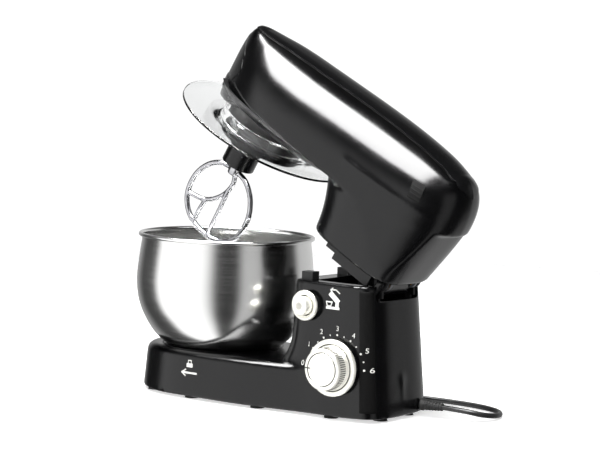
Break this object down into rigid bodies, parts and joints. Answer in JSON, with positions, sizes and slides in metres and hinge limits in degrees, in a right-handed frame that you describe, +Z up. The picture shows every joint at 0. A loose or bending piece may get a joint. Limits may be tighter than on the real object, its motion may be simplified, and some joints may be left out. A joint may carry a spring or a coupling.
{
  "type": "stand mixer",
  "caption": "Tilt-head stand mixer with the head raised, a steel bowl, a flat beater and a clear splash guard, a speed dial and a tilt button",
  "frame": {"origin": "middle of the machine's length and width, on the plane that the feet stand on", "axes": "+Z up, -X towards the nose and the bowl, -Y towards the control panel"},
  "size_m": [0.4788, 0.318, 0.4621],
  "materials": {
    "gloss_black": "polished gloss",
    "satin_black": "fine satin",
    "stainless": "brushed and polished",
    "steel": "machined",
    "cast_metal": "polished casting",
    "die_cast": "raw die casting",
    "chrome_knob": "bright plated",
    "clear": "clear moulded plastic",
    "rubber": "matte",
    "copper": "wound wire",
    "nylon": "moulded",
    "board": "circuit board",
    "brass": "machined"
  },
  "bodies": {
    "stand": {"base_housing": "gloss_black", "bottom_plate": "satin_black", "suction_feet": "rubber", "bottom_screws": "steel", "bowl_seat": "satin_black", "hinge_bracket": "steel", "hinge_pin": "steel", "latch_posts": "satin_black", "corner_trims": "gloss_black", "dial_bezel": "gloss_black", "button_bezel": "gloss_black", "speed_switch": "satin_black", "control_board": "board", "micro_switch": "satin_black", "cord_boot": "rubber", "cord_clamp": "satin_black", "power_cord": "rubber", "cord_coil": "rubber", "plug": "satin_black", "button_spring": "steel", "latch_bracket": "satin_black"},
    "bowl": {"bowl": "stainless", "bowl_base_ring": "satin_black"},
    "head": {"head_housing": "gloss_black", "lower_cover": "satin_black", "top_cover": "gloss_black", "nose_cover": "gloss_black", "rear_cover": "gloss_black", "hinge_skirt": "satin_black", "gear_housing": "satin_black", "ring_gear": "nylon", "head_frame": "die_cast", "motor_stator": "steel", "field_coils": "copper", "motor_brackets": "die_cast", "brush_holders": "satin_black", "drive_belt": "rubber", "shaft_bearings": "brass", "head_screws": "steel", "vent_grilles": "gloss_black"},
    "rotor": {"armature": "steel", "motor_shaft": "steel", "commutator": "copper", "cooling_fan": "satin_black", "motor_pulley": "die_cast"},
    "idler": {"idler_pulley": "die_cast", "idler_shaft": "steel", "idler_pinion": "steel"},
    "carrier": {"main_gear": "steel", "carrier_shaft": "steel", "planet_carrier": "satin_black"},
    "beater": {"planet_pinion": "steel", "output_shaft": "steel", "beater_cup": "satin_black", "beater": "cast_metal"},
    "guard": {"splash_guard": "clear"},
    "button": {"tilt_button": "chrome_knob"},
    "latch": {"latch_lever": "satin_black"},
    "dial": {"speed_dial": "chrome_knob", "dial_shaft": "steel"}
  },
  "joints": [
    {"name": "head_tilt", "type": "hinge", "parent": "stand", "child": "head", "pos_m": [0.1366, 0, 0.166], "axis": [0, 1, 0], "range_deg": [-30, 0]},
    {"name": "bowl_twist", "type": "hinge", "parent": "stand", "child": "bowl", "pos_m": [-0.1254, 0, 0.06], "axis": [0, 0, 1], "range_deg": [0, 25]},
    {"name": "speed_dial_turn", "type": "hinge", "parent": "stand", "child": "dial", "pos_m": [0.0956, -0.07, 0.063], "axis": [0, -1, 0], "range_deg": [-180, 0]},
    {"name": "tilt_button_press", "type": "slide", "parent": "stand", "child": "button", "axis": [0, 1, 0], "range_m": [0, 0.005], "stiffness_N_per_m": 400, "springref_m": -0.002},
    {"name": "latch_swing", "type": "hinge", "parent": "stand", "child": "latch", "pos_m": [0.0496, -0.034, 0.146], "axis": [1, 0, 0], "range_deg": [0, 26.5]},
    {"name": "guard_twist", "type": "hinge", "parent": "head", "child": "guard", "pos_m": [-0.0673, 0, 0.33684], "axis": [0.5, 0, 0.866], "range_deg": [0, 20]},
    {"name": "carrier_spin", "type": "hinge", "parent": "head", "child": "carrier", "pos_m": [-0.0683, 0, 0.3351], "axis": [0.5, 0, 0.866], "continuous": true},
    {"name": "beater_spin", "type": "hinge", "parent": "carrier", "child": "beater", "pos_m": [-0.0733, -0.0255, 0.32644], "axis": [0.5, 0, 0.866], "continuous": true},
    {"name": "idler_spin", "type": "hinge", "parent": "head", "child": "idler", "pos_m": [0.01732, 0, 0.34341], "axis": [0.5, 0, 0.866], "continuous": true},
    {"name": "motor_spin", "type": "hinge", "parent": "head", "child": "rotor", "pos_m": [0.1151, 0, 0.24077], "axis": [0.5, 0, 0.866], "continuous": true}
  ],
  "couplings": [
    {"joint": "latch_swing", "follows": "tilt_button_press", "rad_per_m": 90.909},
    {"joint": "beater_spin", "follows": "carrier_spin", "ratio": -2.7},
    {"joint": "idler_spin", "follows": "carrier_spin", "ratio": -4.7143},
    {"joint": "motor_spin", "follows": "carrier_spin", "ratio": -22}
  ]
}
